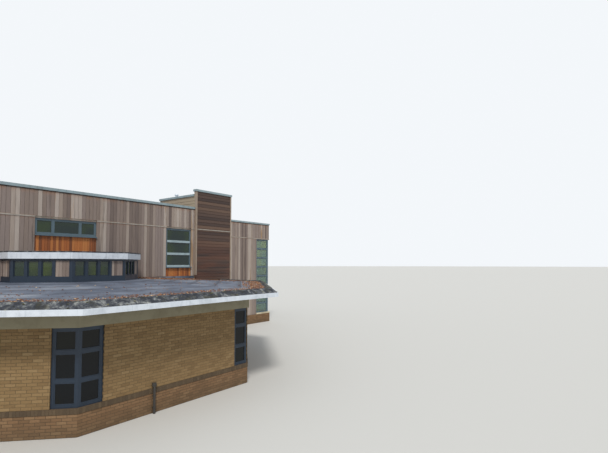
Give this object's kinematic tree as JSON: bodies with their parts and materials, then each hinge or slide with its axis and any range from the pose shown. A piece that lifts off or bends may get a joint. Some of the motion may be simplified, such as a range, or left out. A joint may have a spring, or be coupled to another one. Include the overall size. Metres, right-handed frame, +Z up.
{
  "type": "school building",
  "caption": "Two-storey school building clad in weathered boards, with twin towers and an octagonal brick pavilion whose flat roof carries a small clerestory lantern.",
  "frame": {"origin": "ground level at the middle of the whole footprint", "axes": "+X along the long front to the right, +Y from the pavilion towards the back wall, +Z up"},
  "size_m": [29.02, 19.66, 7.58],
  "materials": {
    "concrete": "power floated screed",
    "roof_felt": "mineral felt",
    "kerb_felt": "weathered mineral felt",
    "sill_stone": "cast stone",
    "inner_wall": "painted plaster on blockwork",
    "plinth_brick": "facing brick",
    "buff_brick": "facing brick",
    "sill_brick": "dark brick on edge",
    "cedar_boards": "weathered vertical boards",
    "dark_boards": "dark horizontal boards",
    "panel_boards": "oiled vertical boards",
    "soffit_boards": "stained boards",
    "flashing": "mill finish",
    "coping": "grey-blue coating",
    "white_trim": "white coating",
    "frieze": "olive-grey coating",
    "window_frames": "grey-blue coating",
    "dark_frames": "slate blue coating",
    "glass": "clear"
  },
  "bodies": {
    "root": {"ground_floor_slab": "concrete", "first_floor_slab": "concrete", "main_roof_deck": "roof_felt", "front_wall": "inner_wall", "return_walls": "inner_wall", "wing_front_walls": "inner_wall", "end_walls": "inner_wall", "back_wall": "inner_wall", "main_plinth": "plinth_brick", "front_cladding": "cedar_boards", "window_panels": "panel_boards", "return_cladding": "cedar_boards", "wing_cladding": "cedar_boards", "end_cladding": "cedar_boards", "back_cladding": "cedar_boards", "wall_flashing": "flashing", "tower_tops": "inner_wall", "tower_cladding": "dark_boards", "tower_coping": "coping", "tower_vents": "white_trim", "tower_trims": "flashing", "parapet_coping": "coping", "front_window_frames": "window_frames", "front_window_glass": "glass", "rear_window_frames": "window_frames", "rear_window_glass": "glass", "end_window_frames": "window_frames", "end_window_glass": "glass", "corner_glazing_frames": "window_frames", "corner_glazing_glass": "glass", "corner_glazing_sills": "sill_stone", "entrance_frame": "window_frames", "entrance_leaves": "window_frames", "entrance_glass": "glass", "pavilion_floor_slab": "concrete", "pavilion_plinth": "plinth_brick", "pavilion_sill_band": "sill_brick", "pavilion_walls": "buff_brick", "pavilion_frieze": "frieze", "pavilion_window_frames": "dark_frames", "pavilion_window_glass": "glass", "pavilion_soffit": "soffit_boards", "pavilion_roof_deck": "roof_felt", "pavilion_kerb": "kerb_felt", "pavilion_fascia": "white_trim", "lantern_frames": "dark_frames", "lantern_glass": "glass", "lantern_panels": "cedar_boards", "lantern_roof_deck": "roof_felt", "lantern_fascia": "white_trim"}
  },
  "joints": []
}
